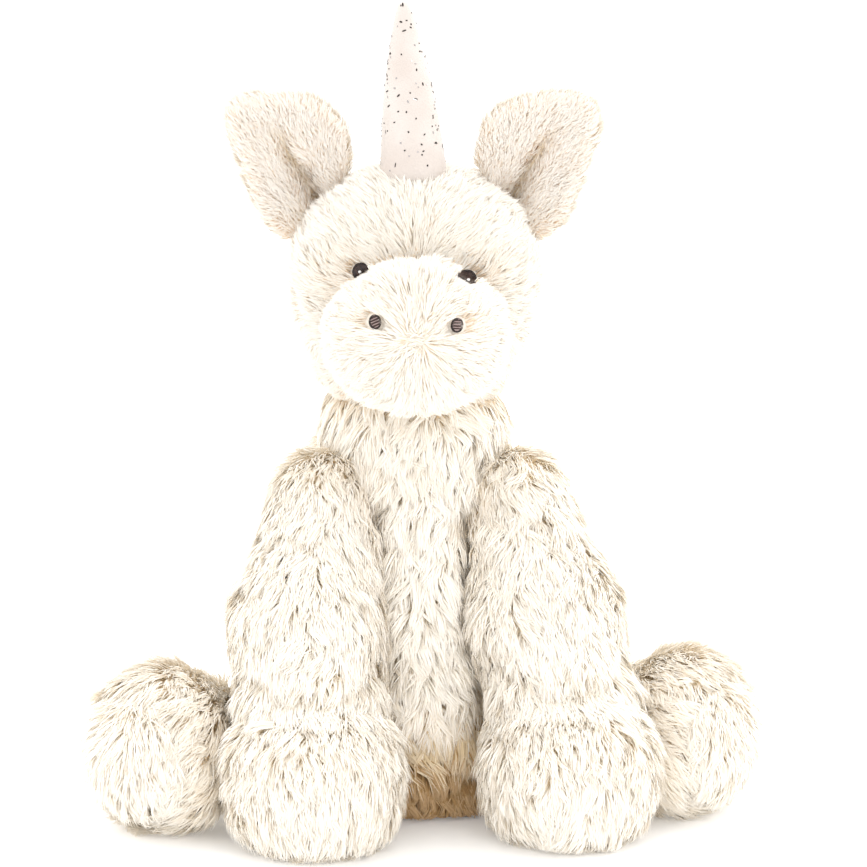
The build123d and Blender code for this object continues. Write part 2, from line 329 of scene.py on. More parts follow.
def ear_bend(across, up):
    """How far the leaf comes forward: two soft wings, with a crease between them near the root."""
    open_up = np.clip(1 - up / EAR_CREASE_TOP, 0, 1.15)
    crease = 7.5 * open_up * np.exp(-((across - 0.5) / (1.6 + 2.6 * open_up)) ** 2)
    wings = 0.10 * np.sqrt(across ** 2 + 9) + 0.006 * across ** 2
    return wings - crease


def ear_form(p):
    across, up, front = ear_local(p)
    edges = []
    for way, (heights, widths, slopes) in ((1, EAR_OUTER), (-1, EAR_INNER)):
        slope = np.clip(np.interp(up, heights, slopes), -1.6, 1.6)
        edges.append((way * across - np.interp(up, heights, widths)) / np.sqrt(1 + slope ** 2))
    edge = meet(meet(np.maximum(*edges), up - EAR_HIGH, 4), EAR_LOW - up, 3)
    thick = 0.85 * np.abs(front - ear_bend(across, up)) - (EAR_PILE + 1.6)
    return meet(edge - 2.4, thick, 5)


def ear_facing(p):
    """Above 0 on the lining's side of the leaf."""
    across, up, front = ear_local(p)
    return front - ear_bend(across, up)


# ---------------- from a form to a mesh
def gradient(form, p, reach=0.35):
    g = np.empty_like(p)
    for axis in range(3):
        step = np.zeros(3)
        step[axis] = reach
        g[:, axis] = form(p + step) - form(p - step)
    return g / (2 * reach)


def settle(form, p, level, rounds=3):
    """Points moved onto the surface where form is level."""
    for _ in range(rounds):
        g = gradient(form, p)
        off = np.clip(form(p) - level, -2, 2)
        p = p - g * (off / np.maximum((g * g).sum(1), 0.05))[:, None]
    return p


def skin_of(form, low, high, step, level):
    """A closed mesh of the surface where form is level: (points, four-sided faces)."""
    axes = [np.arange(a - 2.5 * step, b + 2.5 * step, step) for a, b in zip(low, high)]
    grid = np.stack(np.meshgrid(*axes, indexing="ij"), -1)
    value = form(grid.reshape(-1, 3)).reshape(grid.shape[:3]) - level
    start = grid[0, 0, 0]
    total = np.zeros((value.size, 3))
    count = np.zeros(value.size)
    quads = []
    for a in range(3):
        b, c = (a + 1) % 3, (a + 2) % 3
        edges = np.arange(value.shape[a] - 1)
        first, second = value.take(edges, a), value.take(edges + 1, a)
        at = np.argwhere((first < 0) != (second < 0))
        v0, v1 = first[tuple(at.T)], second[tuple(at.T)]
        point = at * step + start
        point[:, a] += v0 / (v0 - v1) * step
        ring = []
        for db, dc in ((0, 0), (-1, 0), (-1, -1), (0, -1)):
            cell = at.copy()
            cell[:, b] += db
            cell[:, c] += dc
            flat = np.ravel_multi_index(cell.T, value.shape)
            np.add.at(total, flat, point)
            np.add.at(count, flat, 1)
            ring.append(flat)
        quad = np.stack(ring, 1)
        quad[v0 > 0] = quad[v0 > 0][:, ::-1]
        quads.append(quad)
    quads = np.concatenate(quads)
    used = np.flatnonzero(count)
    number = np.zeros(value.size, np.int64)
    number[used] = np.arange(len(used))
    points = total[used] / count[used][:, None]
    return settle(form, points, level), number[quads]


def grid_faces(rows, across, closed):
    """The four-sided faces between rows of points, each row of across points."""
    i, j = np.meshgrid(np.arange(rows - 1), np.arange(across if closed else across - 1), indexing="ij")
    k = (j + 1) % across
    corners_of = [i * across + j, i * across + k, (i + 1) * across + k, (i + 1) * across + j]
    return np.stack(corners_of, -1).reshape(-1, 4)


def make_mesh(name, points, faces, materials, slots=None, normals=None, smooth=True):
    """A mesh object in metres. Faces is one array, or a list of arrays with 3 or 4 corners each."""
    groups = faces if isinstance(faces, list) else [faces]
    groups = [np.asarray(g, np.int32) for g in groups if len(g)]
    mesh = bpy.data.meshes.new(name)
    mesh.vertices.add(len(points))
    mesh.vertices.foreach_set("co", (np.asarray(points) * MM).astype(np.float32).ravel())
    sides = np.concatenate([np.full(len(g), g.shape[1], np.int32) for g in groups])
    mesh.loops.add(int(sides.sum()))
    mesh.loops.foreach_set("vertex_index", np.concatenate([g.ravel() for g in groups]))
    mesh.polygons.add(len(sides))
    mesh.polygons.foreach_set("loop_start", np.concatenate([[0], np.cumsum(sides)[:-1]]).astype(np.int32))
    if slots is not None:
        mesh.polygons.foreach_set("material_index", np.asarray(slots, np.int32))
    mesh.polygons.foreach_set("use_smooth", np.full(len(sides), smooth))
    mesh.update(calc_edges=True)
    if normals is not None:
        store = mesh.attributes.new("custom_normal", "FLOAT_VECTOR", "POINT")
        store.data.foreach_set("vector", normals.astype(np.float32).ravel())
    for material in materials:
        mesh.materials.append(material)
    piece = bpy.data.objects.new(name, mesh)
    bpy.context.scene.collection.objects.link(piece)
    return piece


def lumpy(form, depth):
    """The form some way below its surface, uneven like pushed-in stuffing."""
    def lumps(p):
        x, y, z = p[:, 0], p[:, 1], p[:, 2]
        waves = 0.9 * np.sin(x / 4.1 + 1) * np.sin(y / 4.6 + 2) * np.sin(z / 4.3)
        return waves + 0.6 * np.sin((x + y - z) / 3.1)
    return lambda p: form(p) + depth + lumps(p)


def put(piece, body, nodes=()):
    """Rides a piece on a body, and hides the CAD parts that it stands for."""
    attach(piece, body)
    if nodes:
        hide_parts(*nodes)
    return piece


def stuff(name, form, depth, low, high, body, place=same_place, order=1, step=FILLING_GRID):
    """The stuffing inside a form. Order is -1 where place mirrors it."""
    points, faces = skin_of(lumpy(form, depth), low, high, step, 0)
    piece = make_mesh(name, place(points), faces[:, ::order], [STUFFING])
    put(piece, body, [name.replace("_filling", "_stuffing")])


# ---------------- pile
def scatter(cells, salt):
    """Three even random numbers for each lattice cell, always the same for a cell."""
    mixed = (cells[:, 0] * 73856093) ^ (cells[:, 1] * 19349663) ^ (cells[:, 2] * 83492791)
    mixed = (mixed + salt * 2654435761) & 0xFFFFFFFF
    result = []
    for k in range(3):
        mixed = (mixed * 1664525 + 1013904223 + k) & 0xFFFFFFFF
        mixed = mixed ^ (mixed >> 15)
        result.append((mixed & 0xFFFFFF) / 0x1000000)
    return np.stack(result, 1)


def tufts(points, size, salt):
    """Each point's nearest seed in a jittered lattice, as a group number, and the groups' count."""
    base = np.floor(points / size).astype(np.int64)
    best = np.full(len(points), np.inf)
    owner = base.copy()
    for shift in np.ndindex(3, 3, 3):
        cell = base + np.array(shift) - 1
        away = ((points - (cell + scatter(cell, salt)) * size) ** 2).sum(1)
        closer = away < best
        best[closer] = away[closer]
        owner[closer] = cell[closer]
    owner -= owner.min(0)
    span = owner.max(0) + 1
    key = (owner[:, 0] * span[1] + owner[:, 1]) * span[2] + owner[:, 2]
    found, group = np.unique(key, return_inverse=True)
    return group, len(found)


def group_mean(values, group, count):
    size = np.bincount(group, minlength=count)[:, None]
    total = np.stack([np.bincount(group, values[:, k], count) for k in range(values.shape[1])], 1)
    return total / np.maximum(size, 1)


def sow(points, faces, per_cm2, rng, share=None):
    """Roots spread evenly over a skin."""
    a, b, c, d = (points[faces[:, k]] for k in range(4))
    tri = np.concatenate([np.stack([a, b, c], 1), np.stack([a, c, d], 1)])
    area = np.linalg.norm(np.cross(tri[:, 1] - tri[:, 0], tri[:, 2] - tri[:, 0]), axis=1) / 2
    if share is not None:
        area = area * share(tri.mean(1))
    wanted = area * per_cm2 / 100
    number = np.floor(wanted + rng.random(len(wanted))).astype(int)
    pick = np.repeat(np.arange(len(tri)), number)
    u, v = rng.random((2, len(pick), 1))
    flip = u + v > 1
    u, v = np.where(flip, 1 - u, u), np.where(flip, 1 - v, v)
    t = tri[pick]
    return t[:, 0] + u * (t[:, 1] - t[:, 0]) + v * (t[:, 2] - t[:, 0])


def pile(roots, normals, comb, style, salt):
    """The line of every strand as points (strand, row, 3), from root to tip."""
    rng = np.random.default_rng(salt)
    n = len(roots)
    big, big_count = tufts(roots, style["tuft"], salt)
    small, small_count = tufts(roots, style["lock"], salt + 1)
    big_rand = rng.normal(size=(big_count, 4))[big]
    small_rand = rng.normal(size=(small_count, 4))[small]
    own = rng.normal(size=(n, 4))
    flat = comb(roots)
    flat = unit(flat - normals * dot(flat, normals)[:, None])
    across = np.cross(normals, flat)
    angle = style["stray"] * (0.75 * big_rand[:, 0] + 0.45 * small_rand[:, 0] + 0.3 * own[:, 0])
    ahead = flat * np.cos(angle)[:, None] + across * np.sin(angle)[:, None]
    aside = np.cross(normals, ahead)
    length = 1 + 0.12 * big_rand[:, 1] + 0.10 * small_rand[:, 1] + 0.08 * own[:, 1]
    length = np.clip(length, 0.55, 1.4)
    lift = style["lift"] * length * np.clip(1 + 0.10 * big_rand[:, 2] + 0.08 * own[:, 2], 0.6, 1.25)
    sweep = style["sweep"] * length
    curl = style["curl"] * (small_rand[:, 3] + 0.35 * own[:, 3])
    rows = style["rows"]
    lines = np.empty((n, rows, 3))
    for k, s in enumerate(np.linspace(0, 1, rows)):
        rise = lift * (1 - (1 - s) ** 1.8)
        run = sweep * s ** 1.5
        sway = curl * math.sin(style["turns"] * math.pi * s)
        row = roots + normals * rise[:, None] + ahead * run[:, None] + aside * sway[:, None]
        for group, count, pull in ((big, big_count, "tuft_pull"), (small, small_count, "lock_pull")):
            row += style[pull] * s ** 1.3 * (group_mean(row, group, count)[group] - row)
        lines[:, k] = row + rng.normal(size=(n, 3)) * style["fray"] * s
    return lines


def strand_mesh(name, lines, normals, width, materials, salt, tone):
    """Ribbons along the lines, narrowing to a point. Materials come in sets of SHADES from root to
    tip, and tone says which set each strand takes."""
    rng = np.random.default_rng(salt + 77)
    n, rows, _ = lines.shape
    twist = rng.uniform(-0.5, 0.5, n)
    wide = width * rng.uniform(0.7, 1.25, n)
    step = 2 * rows - 1
    points = np.empty((n, step, 3))
    shading = np.empty((n, step, 3))
    for k in range(rows):
        ahead = unit(lines[:, min(k + 1, rows - 1)] - lines[:, max(k - 1, 0)])
        side = unit(np.cross(ahead, normals))
        out = np.cross(side, ahead)
        side = side * np.cos(twist)[:, None] + out * np.sin(twist)[:, None]
        out = np.cross(side, ahead)
        lit = unit(out + 0.06 * rng.normal(size=(n, 3)))
        if k == rows - 1:
            points[:, -1] = lines[:, k]
            shading[:, -1] = lit
            break
        half = side * (wide * (1 - 0.4 * (k / (rows - 1)) ** 2) / 2)[:, None]
        points[:, 2 * k] = lines[:, k] - half
        points[:, 2 * k + 1] = lines[:, k] + half
        shading[:, 2 * k] = shading[:, 2 * k + 1] = lit
    lowest = FLOOR_GAP + FLOOR_SPREAD * rng.random(n)
    points[:, :, 2] = np.maximum(points[:, :, 2], lowest[:, None])
    sets = len(materials) // SHADES
    first = SHADES * np.clip(np.floor(tone + rng.random(n)), 0, sets - 1)
    base = (np.arange(n) * step)[:, None]
    quads, quad_slots = [], []
    for k in range(rows - 2):
        quads.append(base + np.array([2 * k, 2 * k + 1, 2 * k + 3, 2 * k + 2]))
        quad_slots.append(first + min(k, 1))
    tips = base + np.array([step - 3, step - 2, step - 1])
    slots = np.concatenate(quad_slots + [first + 2 + rng.integers(0, 2, n)])
    return make_mesh(name, points.reshape(-1, 3), [np.concatenate(quads), tips], materials,
                     slots=slots, normals=shading.reshape(-1, 3))


def threads(name, lines, radius, materials, slots, sides=6):
    """Round threads along lists of points. They narrow at both ends, where the needle went in."""
    all_points, faces, face_slots, base = [], [], [], 0
    for line, slot in zip(lines, slots):
        line = np.array(line, float)
        ahead = unit(np.gradient(line, axis=0))
        side = unit(np.cross(ahead, [0.13, 0.21, 0.97]))
        up = np.cross(ahead, side)
        count = len(line)
        thick = radius * (1 - 0.55 * np.abs(np.linspace(-1, 1, count)) ** 6)
        for k in range(sides):
            turn = 2 * math.pi * k / sides
            all_points.append(line + (side * math.cos(turn) + up * math.sin(turn)) * thick[:, None])
        i, j = np.meshgrid(np.arange(sides), np.arange(count - 1), indexing="ij")
        k = (i + 1) % sides
        quad = np.stack([i * count + j, k * count + j, k * count + j + 1, i * count + j + 1], -1)
        faces.append(base + quad.reshape(-1, 4))
        ring = base + np.arange(sides) * count
        for start, order in ((0, ring[::-1]), (count - 1, ring)):
            cap = order + start
            faces.append(np.array([[cap[0], cap[1], cap[2], cap[3]], [cap[0], cap[3], cap[4], cap[5]]]))
        face_slots.append(np.full(len(quad.reshape(-1, 4)) + 4, slot))
        base += sides * count
    return make_mesh(name, np.concatenate(all_points), np.concatenate(faces), materials,
                     slots=np.concatenate(face_slots))


# ---------------- materials
def shader(name, colour, rough, **sockets):
    material = bpy.data.materials.new(name)
    material.use_nodes = True
    node = material.node_tree.nodes["Principled BSDF"]
    node.inputs["Base Color"].default_value = (*colour, 1)
    node.inputs["Roughness"].default_value = rough
    for label, value in sockets.items():
        node.inputs[label.replace("_", " ").title().replace("Ior", "IOR")].default_value = value
    return material, node


def strand_shades(name, *sets):
    """For each set: a root, a middle and two tip shades, the second a little deeper. The darker root is
    painted shade down in the pile.
    """
    shades = []
    for number, colours in enumerate(sets):
        root, middle, tip = colours
        deep = tuple(0.7 * t + 0.3 * m * 0.97 for t, m in zip(tip, middle))
        for label, colour in (("root", root), ("middle", middle), ("tip", tip), ("deep_tip", deep)):
            material, _ = shader(f"{name}_{number}_{label}", colour, 0.8, sheen_weight=0.1,
                                 sheen_roughness=0.5, specular_ior_level=0.1)
            shades.append(material)
    return shades


def add(tree, kind, source=None, output="Object", target="Vector", **values):
    """A new shader node with its inputs set, and one of them linked from a source node."""
    node = tree.nodes.new("ShaderNode" + kind)
    for label, value in values.items():
        node.inputs[label].default_value = value
    if source:
        tree.links.new(source.outputs[output], node.inputs[target])
    return node


def relieved(node, tree, source, output, strength, distance):
    """Bump on a material from a texture's output."""
    bump_node = add(tree, "Bump", source, output, "Height", Strength=strength, Distance=distance)
    tree.links.new(bump_node.outputs["Normal"], node.inputs["Normal"])


def cloth(name, light, dark, scale=260.0, rough=0.95, patches=(38.0, 4.0, 0.3), relief=(0.5, 0.0006),
          **sockets):
    """Knitted or woven cloth: fine loops in relief, and slow uneven colour. Patches are their scale,
    detail and how sharply they part."""
    material, node = shader(name, light, rough, **{"specular_ior_level": 0.15, **sockets})
    tree = material.node_tree
    place = add(tree, "TexCoord")
    loops = add(tree, "TexVoronoi", place, Scale=scale)
    noise = add(tree, "TexNoise", place, Scale=patches[0], Detail=patches[1])
    ramp = add(tree, "ValToRGB", noise, "Fac", "Fac")
    for end, at, colour in zip(ramp.color_ramp.elements, (patches[2], 1 - patches[2]), (dark, light)):
        end.position, end.color = at, (*colour, 1)
    tree.links.new(ramp.outputs["Color"], node.inputs["Base Color"])
    relieved(node, tree, loops, "Distance", *relief)
    return material


def thread(name, colour, rough=0.35):
    """Twisted shiny embroidery thread."""
    material, node = shader(name, colour, rough, specular_ior_level=0.5)
    tree = material.node_tree
    twist = add(tree, "TexWave", add(tree, "TexCoord"), Scale=900.0)
    relieved(node, tree, twist, "Fac", 0.3, 0.0001)
    return material


DARK_THREAD = thread("thread_darkest", (0.020, 0.010, 0.008))
BROWN_THREAD = thread("thread_brown", (0.050, 0.024, 0.018))
WHITE_THREAD = thread("thread_white", (0.90, 0.89, 0.87))
# Pale thread: among the nostrils' stitches it is a painted glint.
PALE_THREAD = thread("thread_pale", (0.42, 0.31, 0.29))
STUFFING = cloth("stuffing_fibre", (0.90, 0.90, 0.88), (0.80, 0.80, 0.77), scale=120.0)
SHADES = 4
# Each set is (root, middle, tip). CREAM, FACE and ROSE are the pile's own colours. WARM, TAN, BROWN and PEACH
# are painted shade, which the tone functions lay in creases, where parts meet and low between the feet; a few
# strands take WARM or PEACH at random too.
CREAM = ((0.975, 0.905, 0.77), (0.978, 0.936, 0.86), (0.980, 0.945, 0.885))
WARM = ((0.94, 0.81, 0.61), (0.965, 0.90, 0.79), (0.975, 0.925, 0.845))
TAN = ((0.58, 0.38, 0.18), (0.79, 0.64, 0.42), (0.87, 0.75, 0.56))
BROWN = ((0.27, 0.15, 0.06), (0.47, 0.29, 0.13), (0.63, 0.44, 0.25))
FACE = ((0.918, 0.858, 0.76), (0.928, 0.888, 0.82), (0.935, 0.90, 0.84))
PEACH = ((0.88, 0.73, 0.56), (0.91, 0.83, 0.72), (0.92, 0.86, 0.77))
ROSE = ((0.92, 0.85, 0.77), (0.93, 0.885, 0.825), (0.935, 0.895, 0.84))
BODY_SHADES = strand_shades("curly_pile", CREAM, WARM, TAN, BROWN)
HEAD_SHADES = strand_shades("plush_pile", FACE, PEACH, TAN)
LINING_SHADES = strand_shades("lining_pile", ROSE, PEACH, TAN)
BACKING = cloth("pile_backing", (0.975, 0.93, 0.84), (0.96, 0.88, 0.74))
HEAD_BACKING = cloth("head_backing", (0.955, 0.91, 0.84), (0.94, 0.87, 0.77))

CURLY = dict(per_cm2=275, rows=4, width=0.56, tuft=7.5, lock=2.2, stray=0.34, lift=4.6, sweep=9.5,
             curl=0.8, turns=1.3, tuft_pull=0.07, lock_pull=0.16, fray=0.28)
CHEST = dict(CURLY, lift=5.8, sweep=11.5, tuft=9.0, lock=3.3, curl=1.5, tuft_pull=0.2, lock_pull=0.45)
FEET = dict(CURLY, lift=4.6, sweep=8.0, tuft=7.0, lock=2.2, curl=0.5, tuft_pull=0.06, lock_pull=0.18)
PLUSH = dict(CURLY, per_cm2=410, rows=3, width=0.5, lift=3.6, sweep=5.6, tuft=6.0, lock=1.6, stray=0.28,
             curl=0.2, tuft_pull=0.03, lock_pull=0.10)
EAR_BACK = dict(PLUSH, lift=3.1, sweep=4.5)
LINING = dict(PLUSH, per_cm2=460, width=0.44, lift=1.8, sweep=3.4, lock=1.2, tuft_pull=0.0, lock_pull=0.1)
PLUME = dict(CURLY, lift=6.0, sweep=13.0, lock=3.2, tuft=9.0, stray=0.3, curl=1.6, tuft_pull=0.3,
             lock_pull=0.45)
MANE = dict(PLUME, lift=6.4, sweep=9.0, lock=3.0, tuft=7.0, stray=0.5, curl=1.4)


# ---------------- combing
def down(p):
    return np.tile([0.0, -0.15, -1.0], (len(p), 1))


def foreleg_comb(p):
    """Down the leg, and out from the middle of the foot."""
    leg = np.tile(unit(ANKLE - SHOULDER), (len(p), 1))
    foot = p - np.append(FOREFOOT, 80.0) - (0, 24, 0)
    low = np.clip((62 - p[:, 2]) / 18, 0, 1)[:, None]
    return leg * (1 - low) + unit(foot) * low


def hindleg_comb(p):
    along = ((p - HINDFOOT) @ SOLE_OUT)[:, None]
    sole = np.clip((along - 6) / 6, 0, 1)
    sag = np.array([0, 0, -0.55])
    outward = unit(p - HINDFOOT - SOLE_OUT * 14 - (0, 0, 34)) + sag
    return unit(SOLE_OUT + sag) * (1 - sole) + sole * outward


def head_comb(p):
    """Back from the nose: out from the muzzle's middle seam, up the forehead, down to the chin, and
    over the crown down the back of the head."""
    out = np.clip((p[:, 0] - MUZZLE_X) / 12, -1, 1)
    rise = np.clip((p[:, 2] - (CROWN - 54)) / 22, -0.7, 0.8)
    face = np.stack([0.8 * out, np.full(len(p), 0.7), rise], 1)
    back = np.clip((p[:, 1] + 8) / 24, 0, 1)[:, None]
    nape = np.stack([0.3 * out, np.full(len(p), 0.45), np.full(len(p), -1.0)], 1)
    return face * (1 - back) + back * nape


def ear_comb(p):
    across, up, _ = ear_local(p)
    return EAR_UP + np.outer(across / 16, EAR_ACROSS) * 0.6


def tail_comb(p):
    return np.tile(unit(TAIL_END - TAIL_ROOT), (len(p), 1)) + np.array([0, 0.2, -0.1])


def mane_comb(p):
    out = np.sign(p[:, :1] + 0.01) * np.array([0.9, 0, 0])
    return out + np.array([0, 0.3, -0.8])


# ---------------- building a furred form
def plain(p):
    return np.zeros(len(p))


def nowhere(p):
    return np.zeros(len(p), bool)


def clipped(lines, clear):
    """Strands cut shorter until they are off the cleared places, and which of them then are."""
    for share in (0.6, 0.5, 0.4, 1.0):
        over = clear(lines.reshape(-1, 3)).reshape(lines.shape[:2]).any(1)
        lines[over] = lines[over, :1] + (lines[over] - lines[over, :1]) * share
    return lines, ~over


def furred(name, form, low, high, panels, body, comb, style=CURLY, step=BODY_GRID, level=-SKIN,
           shades=BODY_SHADES, backing=BACKING, share=None, place=same_place, salt=1,
           style_of=None, tone=plain, clear=nowhere, stuffing=None, shades_of=None):
    """One sewn skin, its pile and its stuffing. Panels is a list of (piece, CAD node, test): a root
    belongs to the first panel whose test holds, and each panel's pile is a piece of its own."""
    rng = np.random.default_rng(salt)
    points, faces = skin_of(form, low, high, step, level)
    points[:, 2] = np.maximum(points[:, 2], SKIN_GAP)
    mirrored = np.linalg.det(place(np.eye(3)) - place(np.zeros((3, 3)))) < 0
    order = -1 if mirrored else 1
    skin = make_mesh(name + "_skin", place(points), faces[:, ::order], [backing])
    put(skin, body, [node for _, node, _ in panels])
    roots = sow(points, faces, style["per_cm2"], rng, share)
    roots = settle(form, roots, level, rounds=1)
    normals = unit(gradient(form, roots))
    free = np.ones(len(roots), bool)
    for number, (piece, node, test) in enumerate(panels):
        mine = free & test(roots)
        free &= ~mine
        own = (style_of or {}).get(piece, style)
        lines = pile(roots[mine], normals[mine], comb, own, salt + 10 * number)
        lines, kept = clipped(lines, clear)
        lines, root, normal = lines[kept], roots[mine][kept], normals[mine][kept]
        lines = place(lines.reshape(-1, 3)).reshape(lines.shape)
        strands = strand_mesh(piece, lines, place(root + normal) - place(root), own["width"],
                              (shades_of or {}).get(piece, shades), salt + number, tone(root))
        put(strands, body, [node])
    if stuffing:
        stuff(stuffing, form, -level + CLOTH, low, high, body, place, order)


def hidden_by(other, depth=1.0, keep=0.35):
    """Fewer strands where another limb covers the skin."""
    return lambda p: np.where(other(p) < depth, keep, 1.0)


def everywhere(p):
    return np.ones(len(p), bool)


def near(other, reach):
    """From 0, far from a form, to 1 on it."""
    return lambda p: np.exp(-np.clip(other(p), 0, None) / reach)


def torso_painted_shade(p):
    """Painted shade: deeper shades where the belly meets the forelegs, and browner near the floor between the
    feet, where shade falls. Elsewhere a few strands take the warm set at random.
    """
    low = np.clip((54 - p[:, 2]) / 34, 0, 1) * (p[:, 1] < TORSO_SEAM_Y - 10)
    low = low * np.clip((32 - np.abs(p[:, 0])) / 14, 0, 1)
    return 0.06 + 0.9 * near(both(foreleg_form), 3)(p) + 3.2 * low


def torso():
    low, high = np.array([*SEAT_LOW[:2] - 8, -2]), np.array([*SEAT_HIGH[:2] + 8, TORSO_TOP + 2])
    seat_top = 9.0
    panels = [
        ("seat_pile", "torso_seat", lambda p: p[:, 2] < seat_top),
        ("left_chest_pile", "left_torso_front", lambda p: (p[:, 0] >= 0) & (p[:, 1] < TORSO_SEAM_Y)),
        ("right_chest_pile", "right_torso_front", lambda p: p[:, 1] < TORSO_SEAM_Y),
        ("left_back_pile", "left_torso_back", lambda p: p[:, 0] >= 0),
        ("right_back_pile", "right_torso_back", everywhere),
    ]
    furred("torso", torso_form, low, high, panels, "torso", down, CHEST, share=hidden_by(limbs_form, 6.0),
           salt=11, tone=torso_painted_shade)
    filled = lambda p: meet(torso_form(p), -bag_form(p) - SKIN - 1, 2)
    stuff("torso_filling", filled, SKIN + CLOTH, low, high, "torso")


def neck():
    low, high = corners("neck_cover")
    furred("neck", neck_form, low - (0, 0, 45), high + (0, 0, 40),
           [("neck_pile", "neck_cover", everywhere)], "neck", down, CHEST, salt=31, stuffing="neck_filling",
           share=hidden_by(lambda p: np.minimum(head_form(p), torso_form(p)), -3.0, 0.0),
           # Painted shade: warmer, tan strands in the crease under the chin.
           tone=lambda p: 0.1 + 0.4 * near(head_form, 4)(p) * (p[:, 1] < 0))


# ---------------- eyes and nostrils
# The face is embroidered. Its marks are laid out as seen from straight ahead and a little above:
# (across, up) from the middle of the face, in a plane square to that line of sight.
SIGHT = math.radians(10.5)
SIGHT_BACK = np.array([0, -math.cos(SIGHT), math.sin(SIGHT)])
SIGHT_UP = np.array([0, math.sin(SIGHT), math.cos(SIGHT)])


def laid_out(x, y, z):
    return np.array([x, np.array([0, y, z]) @ SIGHT_UP])


EYE_TILT = math.radians(31)
EYES = {1: (laid_out(20.6, -46.5, 207.0), 1.04), -1: (laid_out(-19.8, -46.5, 209.9), 0.9)}     # and size
NOSTRILS = {1: laid_out(16.0, -82.0, 194.2), -1: laid_out(-13.4, -82.0, 195.4)}
EYE_WIDE, EYE_TALL = 7.4, 4.3
NOSTRIL_WIDE, NOSTRIL_TALL, NOSTRIL_TILT = 4.7, 5.5, 12
STITCH_LEVEL = -0.9         # how far the stitches sink below the tips of the pile
SIGHT_FAR = 150.0           # further in front of the middle of the face than any of it


def in_eye(flat, side, margin=0.0):
    """Whether laid-out points are in an eye: a half oval on a slanting edge."""
    middle, size = EYES[side]
    q = (flat - middle) / size * np.array([side, 1])
    along = q[:, 0] * math.cos(EYE_TILT) - q[:, 1] * math.sin(EYE_TILT)
    above = q[:, 0] * math.sin(EYE_TILT) + q[:, 1] * math.cos(EYE_TILT) + EYE_TALL / 2
    inside = (along / (EYE_WIDE / 2 + margin)) ** 2 + (above / (EYE_TALL + margin)) ** 2 < 1
    return inside & (above > -margin)


def in_nostril(flat, side, margin=0.0):
    q = flat - NOSTRILS[side]
    return (q[:, 0] / (NOSTRIL_WIDE / 2 + margin)) ** 2 + (q[:, 1] / (NOSTRIL_TALL / 2 + margin)) ** 2 < 1


def stitched(p):
    """Where the pile is clipped away for the embroidery."""
    flat = np.stack([p[:, 0], p @ SIGHT_UP], 1)
    found = np.zeros(len(p), bool)
    for side in (1, -1):
        found |= in_eye(flat, side, 0.25) | in_nostril(flat, side, 0.7)
    return found & (p[:, 1] < -30)


def on_face(flat):
    """Laid-out points carried onto the face."""
    steps = np.arange(0, SIGHT_FAR, 0.25)
    start = np.stack([flat[:, 0], flat[:, 1] * SIGHT_UP[1], flat[:, 1] * SIGHT_UP[2]], 1)
    start = start + SIGHT_BACK * SIGHT_FAR
    places = start[:, None] - SIGHT_BACK * steps[None, :, None]
    inside = head_form(places.reshape(-1, 3)).reshape(len(flat), -1) < STITCH_LEVEL
    first = np.argmax(inside, axis=1)
    return start - SIGHT_BACK * steps[first][:, None]


def eye(side, word):
    """Satin stitch from the slanting edge to the rim, an outline, and a white stitch for the glint."""
    middle, size = EYES[side]
    rng = np.random.default_rng(900 + side)
    along_axis = np.array([side * math.cos(EYE_TILT), -math.sin(EYE_TILT)])
    up_axis = np.array([side * math.sin(EYE_TILT), math.cos(EYE_TILT)])
    edge = middle - up_axis * size * EYE_TALL / 2

    def stitch(a0, b0, a1, b1, arch, count=7):
        t = np.linspace(0, 1, count)[:, None]
        a, b = a0 + (a1 - a0) * t, b0 + (b1 - b0) * t
        flat = edge + size * (a * along_axis + b * up_axis)
        return on_face(flat) + SIGHT_BACK * (arch * np.sin(np.pi * t) + 0.1)

    lines, slots = [], []
    half = EYE_WIDE / 2
    for a in np.arange(-half + 0.25, half - 0.2, 0.3):
        top = EYE_TALL * math.sqrt(1 - (a / half) ** 2)
        lines.append(stitch(a, -0.2, a * 0.96, top + rng.uniform(-0.15, 0.2), 0.7))
        slots.append(int(rng.integers(0, 2)))
    for inset in (0.05, 0.5):
        turn = np.linspace(0.12, math.pi - 0.12, 22)
        flat = edge + size * (np.outer(np.cos(turn) * (half - inset), along_axis)
                              + np.outer(np.sin(turn) * (EYE_TALL - inset), up_axis))
        lines.append(on_face(flat) + SIGHT_BACK * 0.55)
        slots.append(0)
    for k, a in enumerate((0.15, 0.5, 0.85)):
        lines.append(stitch(a, 0.35, a, 1.35 + 0.25 * (k == 1), 0.25, 5) + SIGHT_BACK * 0.75)
        slots.append(2)
    piece = threads(word + "_eye_stitches", [head_place(line) for line in lines], 0.21,
                    [DARK_THREAD, BROWN_THREAD, WHITE_THREAD], slots)
    put(piece, "head", [word + "_eye"])


